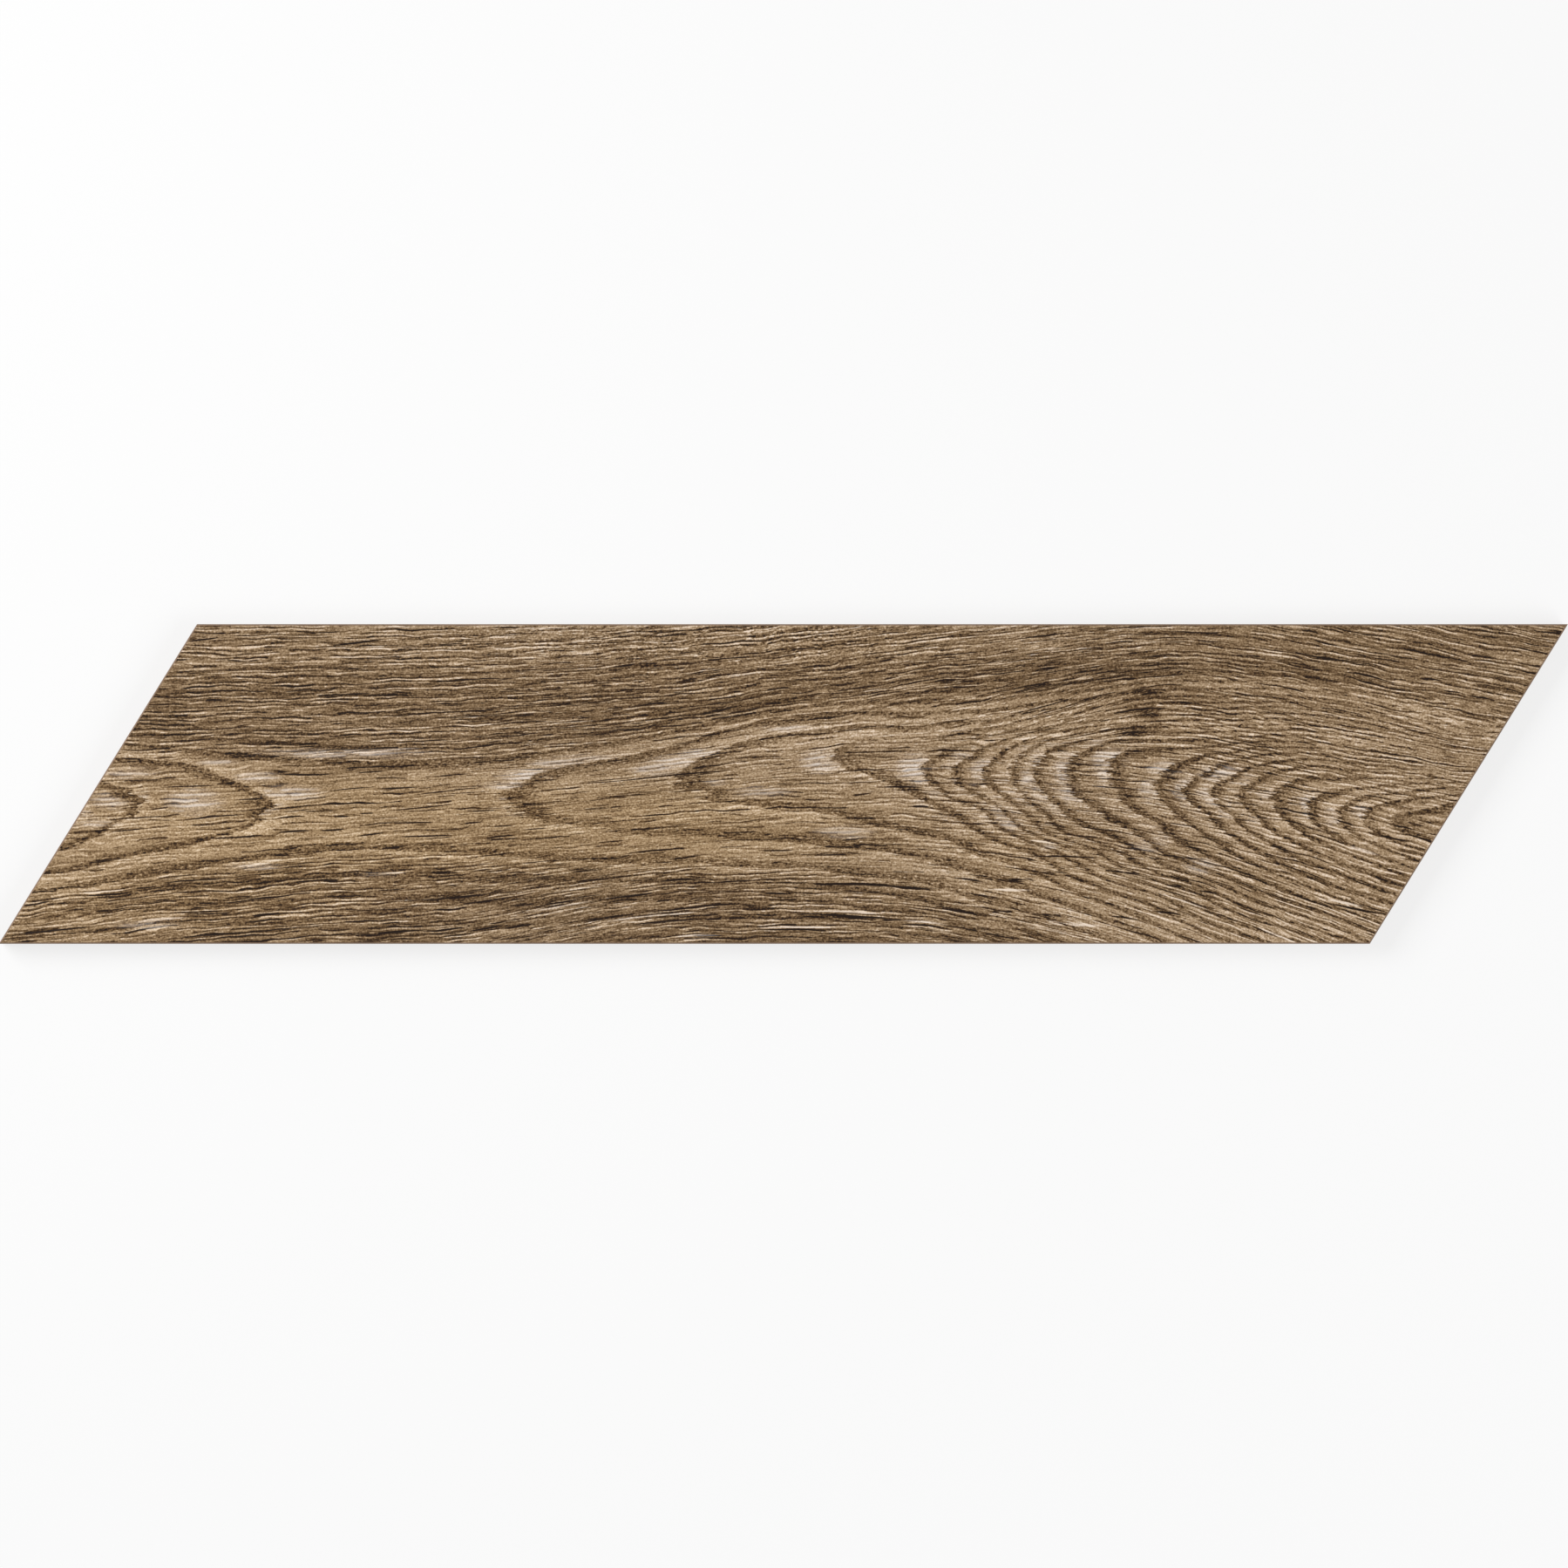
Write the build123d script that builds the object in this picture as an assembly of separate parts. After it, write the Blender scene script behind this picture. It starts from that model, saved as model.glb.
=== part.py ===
"""Chevron floor tile of wood-look porcelain, pressed and fired as one piece.

The tile is a parallelogram with two long edges and two slanted ends. The wear face is flat and points up (+Z),
the long edges run along X, and the origin is under the middle of the tile, on the plane of its back.
"""

import os
from math import radians, sin, tan

from build123d import *

# Outline, in millimetres and degrees
OVERALL_LENGTH = 540.0  # along X, from the sharp corner of one end to that of the other
TILE_WIDTH = 110.0  # square across, from long edge to long edge
TILE_THICKNESS = 10.0
END_ANGLE = 58.2  # between a long edge and a slanted end

# Edges
FACE_ARRIS = 0.5  # bevel round the wear face
BACK_ARRIS = 1.0  # bevel that the mould leaves round the back

# Key pattern in the back: recessed cells, with the ribs between them level with the border
BACK_BORDER = 7.0  # plain border round the cells, square to each edge
RIB_WIDTH = 4.0  # between neighbouring cells, along X and along Y
CELL_PITCH = 24.0  # about how far one cell is from the next
CELL_DEPTH = 0.7
CELL_CORNER = 3.0  # corner radius of a cell at the back plane
CELL_DRAFT = 30.0  # degrees that a cell's walls lean, so that the tile leaves the mould


def lean(width):
    """How far along X a slanted end runs over this width."""
    return width / tan(radians(END_ANGLE))


def slanted_outline(edge_length, width):
    """Parallelogram about the origin, with its long edges along X and the tile's slant on its ends."""
    half_sum = (edge_length + lean(width)) / 2
    half_difference = (edge_length - lean(width)) / 2
    return Polygon(
        (-half_sum, -width / 2),
        (half_difference, -width / 2),
        (half_sum, width / 2),
        (-half_difference, width / 2),
        align=None,
    )


def tile_blank():
    """The plain pressed plate, with the bevels round its wear face and its back."""
    long_edge = OVERALL_LENGTH - lean(TILE_WIDTH)
    plate = extrude(slanted_outline(long_edge, TILE_WIDTH), amount=TILE_THICKNESS)
    plate = chamfer(plate.faces().sort_by(Axis.Z)[-1].edges(), FACE_ARRIS)
    return chamfer(plate.faces().sort_by(Axis.Z)[0].edges(), BACK_ARRIS)


def even_cells(field):
    """Count and size of the cells that fill a field with ribs between them, at about the stated pitch."""
    count = max(1, round((field + RIB_WIDTH) / CELL_PITCH))
    return count, (field + RIB_WIDTH) / count - RIB_WIDTH


def key_cells():
    """The recessed cells of the back, in rows along the long edges that step with the slant of the ends."""
    end_border = BACK_BORDER / sin(radians(END_ANGLE))
    field_length = OVERALL_LENGTH - lean(TILE_WIDTH) - 2 * end_border
    field_width = TILE_WIDTH - 2 * BACK_BORDER
    columns, cell_length = even_cells(field_length)
    rows, cell_width = even_cells(field_width)

    outline = slanted_outline(cell_length, cell_width)
    outline = fillet(outline.vertices(), CELL_CORNER)
    cell = extrude(outline, amount=CELL_DEPTH, taper=CELL_DRAFT)

    cells = []
    for row in range(rows):
        y = (row - (rows - 1) / 2) * (cell_width + RIB_WIDTH)
        for column in range(columns):
            x = (column - (columns - 1) / 2) * (cell_length + RIB_WIDTH) + lean(y)
            cells.append(Pos(x, y) * cell)
    return cells


chevron_tile = tile_blank() - key_cells()

os.makedirs("parts", exist_ok=True)
export_step(chevron_tile, "parts/chevron_tile.step")
print(f"chevron_tile: {chevron_tile.volume:.0f} mm3, {len(chevron_tile.faces())} faces")
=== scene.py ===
import bmesh
import bpy
import numpy as np
from mathutils import Matrix, Vector


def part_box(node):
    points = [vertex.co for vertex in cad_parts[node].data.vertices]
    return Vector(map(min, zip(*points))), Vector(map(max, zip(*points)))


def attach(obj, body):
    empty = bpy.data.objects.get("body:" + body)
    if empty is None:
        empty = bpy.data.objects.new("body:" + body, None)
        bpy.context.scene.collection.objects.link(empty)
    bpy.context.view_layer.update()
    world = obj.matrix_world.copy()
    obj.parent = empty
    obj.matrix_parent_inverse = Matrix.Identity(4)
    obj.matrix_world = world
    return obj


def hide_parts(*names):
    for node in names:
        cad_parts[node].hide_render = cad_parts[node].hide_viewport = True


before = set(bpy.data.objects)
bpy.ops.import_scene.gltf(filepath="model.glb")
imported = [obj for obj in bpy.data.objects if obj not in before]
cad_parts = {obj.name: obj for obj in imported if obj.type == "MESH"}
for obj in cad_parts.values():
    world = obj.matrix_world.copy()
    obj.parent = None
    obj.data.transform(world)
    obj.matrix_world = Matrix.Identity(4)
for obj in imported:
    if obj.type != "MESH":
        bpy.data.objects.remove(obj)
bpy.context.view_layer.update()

# Pressed body
# Porcelain powder is pressed in a steel mould and fired whole, so the tile is one piece. Its sides, bevels
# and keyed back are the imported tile's own faces. Only the flat wear face is laid anew, as a grid that is
# fine enough to emboss.

QUADS_ALONG = 330  # of the wear face, along a long edge
QUADS_ACROSS = 270  # and along a slanted end
TOUCHING = 2e-6  # metres, within which two corners are one
GRID_SLACK = 2e-5  # metres, within which a corner of the grid lies on the bevel's rim

tile_low, tile_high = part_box("chevron_tile")
body = bmesh.new()
body.from_mesh(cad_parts["chevron_tile"].data)
bmesh.ops.remove_doubles(body, verts=body.verts, dist=TOUCHING)


def on_wear_face(corner):
    """Whether a corner lies on the plane of the wear face."""
    return corner.co.z > tile_high.z - TOUCHING


plain_face = [face for face in body.faces if all(map(on_wear_face, face.verts))]
bmesh.ops.delete(body, geom=plain_face, context="FACES")
rim = [edge for edge in body.edges if all(map(on_wear_face, edge.verts))]
rim_corners = sorted({corner for edge in rim for corner in edge.verts}, key=lambda corner: corner.co.x)
left_front, left_rear, right_front, right_rear = [corner.co.copy() for corner in rim_corners]
long_way = right_front - left_front
end_way = left_rear - left_front
face_middle = (left_front + right_rear) / 2

for edges_along, quads in ((True, QUADS_ALONG), (False, QUADS_ACROSS)):
    sides = [
        edge for edge in rim
        if (abs(edge.verts[0].co.y - edge.verts[1].co.y) < GRID_SLACK) == edges_along
    ]
    bmesh.ops.subdivide_edges(body, edges=sides, cuts=quads - 1)

face_place = Matrix((
    (long_way.x / 2, end_way.x / 2, 0, face_middle.x),
    (long_way.y / 2, end_way.y / 2, 0, face_middle.y),
    (0, 0, 1, tile_high.z),
    (0, 0, 0, 1),
))
bmesh.ops.create_grid(body, x_segments=QUADS_ALONG, y_segments=QUADS_ACROSS, size=1, matrix=face_place)
bmesh.ops.remove_doubles(body, verts=list(filter(on_wear_face, body.verts)), dist=GRID_SLACK)

PRINTED, BARE = 0, 1  # material slots: the printed wear face, and the bare fired body
for face in body.faces:
    printed = all(map(on_wear_face, face.verts))
    face.material_index = PRINTED if printed else BARE
    face.smooth = printed

# A flat map of the tile, for pictures baked from its materials: the wear face, with its slant taken out,
# fills most of it, the back lies in a strip below, and the sides are unrolled in two rows at the foot
FACE_ROWS = (0.2, 0.99)
BACK_ROWS = (0.05, 0.19)
SIDE_ROWS = ((0.005, 0.022), (0.028, 0.045))
MAP_MARGIN = 0.01  # left free at both ends of a row
BACK_TILT = -0.45  # faces that point down by more than this are laid out with the back
END_TURN = 0.1  # faces that point along X by more than this belong to a slanted end
tile_size = tile_high - tile_low
lean = end_way.x / end_way.y
straight_length = tile_size.x - lean * tile_size.y
end_length = tile_size.y * (1 + lean ** 2) ** 0.5
flat_map = body.loops.layers.uv.new("OFBake")
body.normal_update()
for face in body.faces:
    out = face.normal
    slanted_end = abs(out.x) > END_TURN
    for loop in face.loops:
        place = loop.vert.co - tile_low
        along = (place.x - lean * place.y) / straight_length
        up = place.y / tile_size.y
        if face.material_index == PRINTED:
            low, high = FACE_ROWS
        elif out.z < BACK_TILT:
            low, high = BACK_ROWS
        else:
            low, high = SIDE_ROWS[0] if (out.x if slanted_end else out.y) < 0 else SIDE_ROWS[1]
            unrolled = straight_length + up * end_length if slanted_end else along * straight_length
            along = unrolled / (straight_length + end_length)
            up = place.z / tile_size.z
        loop[flat_map].uv = (MAP_MARGIN + (1 - 2 * MAP_MARGIN) * along, low + (high - low) * up)

tile_mesh = bpy.data.meshes.new("wood_look_tile")
body.to_mesh(tile_mesh)
body.free()
tile = bpy.data.objects.new("wood_look_tile", tile_mesh)
bpy.context.scene.collection.objects.link(tile)

# Oak grain
# The design is a flat-sawn oak board: growth rings that make arches towards both ends, with fibres running
# past them. Each corner of the wear face learns how far along and across the fibres it lies, and which
# growth ring it is in.

PHOTO_LENGTH = 1800.6  # of the tile, in pixels of the 1799 x 1799 photograph
PHOTO_MIDDLE = (898.8, 899.5)  # where the tile's middle is in it
MILLIMETRE = 0.001
pixel = (tile_high.x - tile_low.x) / PHOTO_LENGTH

# Growth rings, given one by one: a ring's number, which counts up from the heart towards the bark, and then
# points along its dark line, in pixels
RING_LINES = (
    (0, (150, 874), (200, 879), (240, 890), (266, 906), (298, 924)),
    (0, (282, 944), (230, 963), (160, 976), (65, 999)),
    (-1, (112, 903), (140, 909), (155, 918), (146, 930), (120, 946), (85, 967)),
    (-2, (60, 900), (85, 922), (40, 950)),
    (0, (1200, 806), (1080, 817), (960, 818), (860, 833), (780, 858), (680, 877), (622, 893), (602, 915)),
    (0, (622, 937), (700, 945), (800, 952), (900, 958), (1000, 968), (1090, 986)),
    (0, (1150, 1006), (1230, 1037), (1320, 1074), (1420, 1116)),
    (-1, (1260, 812), (1140, 829), (1040, 840), (960, 840), (880, 848), (830, 865), (802, 883), (806, 901)),
    (-1, (840, 916), (920, 924), (1000, 938), (1060, 955), (1140, 984), (1240, 1024)),
    (-2, (1000, 848), (980, 868), (1012, 888), (1056, 908), (1102, 934), (1180, 974)),
    (-3, (1140, 842), (1103, 852), (1078, 868), (1066, 890), (1084, 910), (1130, 926)),
    (-3, (1215, 976), (1330, 1025), (1500, 1094)),
    (-4, (1170, 846), (1123, 864), (1098, 893), (1120, 912)),
    (-6, (1215, 846), (1184, 860), (1166, 888), (1176, 916)),
    (-6, (1220, 954), (1330, 1003), (1430, 1042), (1560, 1090)),
    (-7, (1245, 849), (1214, 860), (1189, 888), (1204, 911), (1250, 948)),
    (-8, (1282, 848), (1252, 864), (1234, 886), (1246, 912), (1278, 938), (1330, 975)),
    (-9, (1310, 861), (1285, 884), (1296, 912), (1340, 948), (1400, 988)),
    (-10, (1440, 858), (1388, 868), (1348, 890), (1330, 909), (1360, 935)),
    (-10, (1400, 965), (1460, 1000), (1530, 1028), (1640, 1066)),
    (-11, (1400, 880), (1363, 905), (1395, 940), (1440, 973)),
    (-13, (1510, 878), (1452, 891), (1427, 914), (1450, 942), (1510, 978), (1570, 1000), (1680, 1034)),
    (-15, (1600, 900), (1540, 912), (1506, 934), (1530, 958), (1580, 980), (1700, 1012)),
    (-17, (1690, 912), (1640, 916), (1590, 925), (1566, 947), (1610, 968), (1720, 996)),
    (-18, (1720, 928), (1640, 932), (1604, 948), (1640, 962), (1740, 980)),
    (1, (160, 857), (290, 866), (380, 875), (480, 877), (570, 873), (660, 861), (780, 840)),
    (1, (60, 1020), (140, 1004), (250, 990), (340, 974), (460, 971), (560, 976), (720, 987), (860, 990)),
    (1, (1000, 1004), (1120, 1030)),
    (3, (-20, 1068), (60, 1052), (200, 1038), (330, 1034), (460, 1027)),
    (3, (600, 1035), (760, 1029), (900, 1031), (1020, 1042)),
    (5, (0, 1090), (200, 1072), (430, 1066), (700, 1072), (920, 1068), (1060, 1090)),
    (15, (228, 716), (440, 716)),
    (13.5, (680, 716),),
    (11, (900, 716),),
    (9, (1120, 716),),
    (7, (1300, 716), (1400, 716), (1780, 784)),
    (14, (1795, 720),),
    (-1, (1330, 800), (1400, 800), (1690, 850)),
    (-14, (1700, 890),),
)
ACROSS_STRETCH = 2.0  # rings change faster across the board than along it
RING_EASE = 8.0  # how much a ring may pass beside its picked points, so that it stays smooth
RING_BEND = 14.0  # pixels, about the tightest bend that a ring takes

# Slope of the fibres at places along the tile, in degrees, falling towards +X, in rows from the rear edge
# to the front edge. Places and rows are in pixels.
SLOPE_PLACES = (60, 300, 450, 600, 700, 780, 860, 1000, 1120, 1240, 1330, 1400, 1500, 1650, 1790)
FIBRE_SLOPES = (
    (740, (-0.5, -1, -1, -2, -3, -4.5, -6, -7, -6, -6, -2.5, 6, 10, 11, 9.5)),
    (775, (-0.7, -1.2, -1.2, -2.5, -3.7, -5.2, -6.7, -7, -6.5, -9, -3, 7.5, 10.5, 10.5, 9.2)),
    (805, (-1, -1.5, -1.5, -3, -4.5, -6, -7.5, -7, -7.5, -19, -3, 9, 11, 10, 9)),
    (835, (-1, -2, -2, -3.5, -5.2, -7, -8, -5, -5, -17, 0, 9, 10.5, 9.5, 8.8)),
    (865, (-1.4, -2.7, -2.7, -4.1, -5.8, -6.8, -7, -2.4, 1.6, 2.8, 4, 7.4, 9.4, 8.9, 8.4)),
    (915, (-3, -3.5, -3.5, -4.5, -5, -4, -3, 0, 4, 6, 7.5, 9, 9, 8.5, 8)),
    (985, (-5, -4.5, -3.5, -5, -6, -4, -2, 1.5, 6.5, 10, 13, 16, 17, 14, 13)),
    (1045, (-6.5, -4, -2.5, -11, -9, -4, -1, 2.5, 10, 14, 18, 21, 21, 18, 17)),
)

places = np.empty(len(tile_mesh.vertices) * 3)
tile_mesh.vertices.foreach_get("co", places)
places = places.reshape(-1, 3)
on_face = places[:, 2] > tile_high.z - TOUCHING
photo_x = PHOTO_MIDDLE[0] + places[on_face, 0] / pixel
photo_y = PHOTO_MIDDLE[1] - places[on_face, 1] / pixel

# Ring numbers as a smooth surface: a plane, bent by a rounded cone of its own height at each picked point
picked = np.array([(x, y * ACROSS_STRETCH, ring) for ring, *line in RING_LINES for x, y in line], float)
gaps = np.linalg.norm(picked[:, None, :2] - picked[None, :, :2], axis=2)
pull = np.hypot(gaps, RING_BEND) - RING_EASE * np.eye(len(picked))
plane = np.c_[np.ones(len(picked)), picked[:, :2] / PHOTO_LENGTH]
terms = np.block([[pull, plane], [plane.T, np.zeros((3, 3))]])
weights = np.linalg.solve(terms, np.r_[picked[:, 2], np.zeros(3)])


def ring_number(x, y):
    """The growth ring at these pixels, on the smooth surface through the picked points."""
    y = y * ACROSS_STRETCH
    total = weights[-3] + (weights[-2] * x + weights[-1] * y) / PHOTO_LENGTH
    for (from_x, from_y, _), weight in zip(picked, weights):
        total = total + weight * np.sqrt((x - from_x) ** 2 + (y - from_y) ** 2 + RING_BEND ** 2)
    return total


def fibre_slope(x, y):
    """How far the fibres at these pixels drop for each pixel along."""
    rows = [row for row, _ in FIBRE_SLOPES]
    slopes = np.array([np.interp(x, SLOPE_PLACES, row_slopes) for _, row_slopes in FIBRE_SLOPES])
    last = len(rows) - 1.001  # just short of the last row, so that there always is a next one
    which = np.clip(np.interp(y, rows, range(len(rows))), 0, last)
    lower = which.astype(int)
    share = which - lower
    index = np.arange(len(x))
    return np.tan(np.radians(slopes[lower, index] * (1 - share) + slopes[lower + 1, index] * share))


FIBRE_STEPS = 40  # in which a fibre is followed to a line


def fibre_at(x, y, line):
    """How far across the tile the fibres through these pixels cross the line at this pixel along it."""
    stride = (line - x) / FIBRE_STEPS
    for _ in range(FIBRE_STEPS):
        y = y + stride * fibre_slope(x, y)
        x = x + stride
    return y


# Fibres spread apart and close up along the tile, so they are told apart on three lines across it, which
# are at these pixels
FIBRE_LINES = {"fibres_left": 350, "fibres_middle": 950, "fibres_right": 1450}
TIP_ANGLE = (0.35, 0.85)  # share of a ring's change that is along the fibres, beside an arch and at its tip
NARROW_RING = (0.17, 0.28)  # rings to a pixel, where they begin to blur and where none can be told apart
OUTER_RINGS = (0.4, 3.0)  # rings over which the bands turn faint, towards the long edges
OUTER_FAINTNESS = 0.5
UPPER_SIDE = (-0.6, 0.2)  # how far a ring's outer side faces the rear edge, on lower branches and upper ones
RIM_FADE = 1.6 * MILLIMETRE  # the embossing dies away towards the bevel
PATCH_EDGE = (0.15, 0.75)  # share of its size at which a patch begins to fade, and at which it is gone

# Patches, given one by one: the middle of each, its length along the tile and its width across it, in
# pixels, and its strength
CHALK_PLACES = (  # pale flecks, mostly at the tips of the arches
    (578, 901, 44, 9, 0.9), (604, 890, 56, 13, 1.0), (640, 876, 56, 10, 0.8), (672, 869, 60, 6, 0.5),
    (748, 883, 44, 11, 0.75), (776, 873, 64, 13, 0.75), (806, 864, 44, 8, 0.7), (818, 898, 28, 7, 0.6),
    (942, 873, 42, 24, 1.0), (875, 909, 60, 12, 0.5), (968, 956, 60, 16, 0.5), (910, 836, 70, 7, 0.6),
    (252, 875, 44, 7, 0.6), (295, 892, 46, 11, 0.8), (332, 910, 66, 15, 0.9), (222, 920, 56, 26, 1.0),
    (150, 887, 54, 13, 0.5), (125, 919, 40, 18, 0.6), (112, 946, 56, 9, 0.5), (390, 865, 190, 10, 0.6),
    (291, 994, 54, 7, 1.0), (434, 1004, 40, 7, 0.5), (170, 1061, 70, 8, 0.7),
    (1272, 872, 36, 24, 1.0), (1219, 886, 16, 26, 0.9), (1228, 910, 20, 20, 0.7), (1338, 882, 36, 14, 1.0),
    (1316, 905, 16, 18, 0.7), (1398, 887, 40, 16, 1.0), (1049, 882, 36, 32, 1.0), (1103, 868, 22, 8, 0.6),
    (1157, 946, 26, 12, 0.7), (1202, 972, 20, 9, 0.6), (1378, 994, 32, 16, 0.6), (1318, 970, 34, 14, 0.5),
    (1178, 892, 14, 16, 0.7), (1257, 852, 22, 8, 0.6),
)
SMUDGE_PLACES = (  # dark smudges, about the small knot and at some tips
    (1314, 794, 44, 9, 0.7), (1318, 820, 24, 12, 1.1), (1328, 831, 24, 7, 0.8), (1297, 838, 40, 14, 1.0),
    (612, 930, 30, 26, 0.3), (282, 868, 34, 12, 0.5), (1352, 912, 24, 20, 0.6), (300, 927, 36, 24, 0.35),
)
FAINT_PLACES = (  # where the rings hardly show
    (1045, 854, 130, 26, 0.9), (1000, 866, 70, 30, 0.35), (800, 952, 420, 40, 0.3),
)
SLIM_PLACES = (  # where the rings are slimmer and darker
    (210, 945, 620, 300, 0.35),
)
RAY_PLACES = (  # small mottled flecks near the rear edge
    (800, 735, 420, 90, 1.0), (560, 735, 220, 60, 0.5), (980, 730, 220, 60, 0.5),
)
GOLD_PLACES = (  # where the wood is warmer
    (180, 950, 700, 170, 0.7), (560, 950, 700, 130, 0.8), (840, 950, 500, 110, 0.4),
    (140, 1050, 600, 90, 0.6), (1190, 985, 170, 100, 0.4),
)
SHADE_PLACES = (  # darker above 0, paler below it
    (1230, 785, 560, 70, 0.06), (1440, 830, 420, 80, 0.05), (400, 878, 460, 50, 0.045),
    (1240, 965, 240, 70, 0.055), (60, 1060, 260, 70, -0.04), (340, 1005, 380, 50, 0.025),
    (120, 955, 240, 50, -0.04), (420, 1062, 1300, 44, -0.04), (1420, 1010, 300, 60, 0.045),
    (1230, 735, 900, 50, -0.07), (1700, 785, 260, 70, -0.05), (1460, 878, 260, 48, 0.045),
    (1690, 890, 240, 80, 0.035), (1010, 965, 240, 44, 0.045), (560, 968, 240, 36, 0.035),
    (120, 830, 260, 44, 0.045), (790, 830, 240, 40, 0.04), (790, 785, 240, 44, -0.04),
    (20, 1050, 260, 70, -0.035), (900, 790, 1900, 80, 0.018), (340, 780, 300, 60, 0.02),
    (990, 735, 240, 50, 0.02), (940, 815, 220, 36, 0.085), (960, 764, 260, 30, -0.06),
    (640, 850, 200, 26, 0.05), (650, 816, 160, 20, -0.05), (1290, 796, 160, 26, 0.06),
    (1710, 734, 260, 50, 0.065), (300, 725, 140, 24, 0.05), (260, 846, 220, 26, 0.05),
    (1700, 815, 160, 26, -0.05), (350, 782, 220, 22, 0.06), (960, 728, 300, 32, 0.045),
    (930, 850, 260, 30, -0.05), (215, 1070, 120, 24, -0.05), (1200, 1058, 110, 40, -0.04),
    (1520, 1048, 120, 50, -0.045), (505, 1070, 110, 30, 0.045),
)


def eased(values, start, end):
    """A smooth step from 0 at start to 1 at end."""
    share = np.clip((values - start) / (end - start), 0, 1)
    return share * share * (3 - 2 * share)


def patches(spots):
    """How strong the patches are at each corner of the wear face."""
    total = np.zeros(len(photo_x))
    for x, y, length, width, strength in spots:
        away = np.hypot((photo_x - x) / length, (photo_y - y) / width)
        total += strength * (1 - eased(away, *PATCH_EDGE))
    return total


STRIDE = 6  # pixels to each side of a corner, over which a ring's change is told
ring = ring_number(photo_x, photo_y)
drop = STRIDE * fibre_slope(photo_x, photo_y)
ring_along = ring_number(photo_x + STRIDE, photo_y + drop) - ring_number(photo_x - STRIDE, photo_y - drop)
ring_across = ring_number(photo_x, photo_y + STRIDE) - ring_number(photo_x, photo_y - STRIDE)
ring_along /= 2 * STRIDE
ring_across /= 2 * STRIDE
ring_rate = np.hypot(ring_along, ring_across)
end_normal = Vector((end_way.y, -end_way.x, 0)).normalized()
end_reach = abs((right_rear - face_middle).dot(end_normal))
from_end = end_reach - np.abs((places[on_face] - np.array(face_middle)) @ np.array(end_normal))
from_long_edge = right_rear.y - np.abs(places[on_face, 1])
to_mm = pixel / MILLIMETRE
grain = {
    "along": photo_x * to_mm,
    "growth_ring": ring,
    "rings_crossed": ring_along / to_mm,  # rings to a millimetre along a fibre
    "arch_tip": eased(np.abs(ring_along) / ring_rate, *TIP_ANGLE) * (1 - patches(SLIM_PLACES)),
    "ring_rate": ring_rate / to_mm,  # rings to a millimetre, straight through them
    "ring_shows": (
        (1 - eased(ring_rate, *NARROW_RING))
        * (1 - OUTER_FAINTNESS * eased(ring, *OUTER_RINGS))
        * (1 - np.minimum(patches(FAINT_PLACES), 1))
    ),
    "upper_side": eased(-ring_across / ring_rate, *UPPER_SIDE),
    "chalk": np.minimum(patches(CHALK_PLACES), 1),
    "smudge": patches(SMUDGE_PLACES),
    "slim": patches(SLIM_PLACES),
    "ray": patches(RAY_PLACES),
    "gold": patches(GOLD_PLACES),
    "shade": patches(SHADE_PLACES),
    "off_rim": eased(np.minimum(from_end, from_long_edge), 0, RIM_FADE),
}
for name, line in FIBRE_LINES.items():
    grain[name] = fibre_at(photo_x, photo_y, line) * to_mm
for name, values in grain.items():
    everywhere = np.zeros(len(places))
    everywhere[on_face] = values
    tile_mesh.attributes.new(name, "FLOAT", "POINT").data.foreach_set("value", everywhere)

# Figure of the grain
# One drawing of pores, rings, streaks and checks serves both the embossing punch and the ink jets, so that
# every sunk check lies under its own dark ink, as on tiles that are embossed in register.

DRAW_SHIFT = (7.3, 3.1)  # how far one draw of the noise lies from the next on its plane


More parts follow.
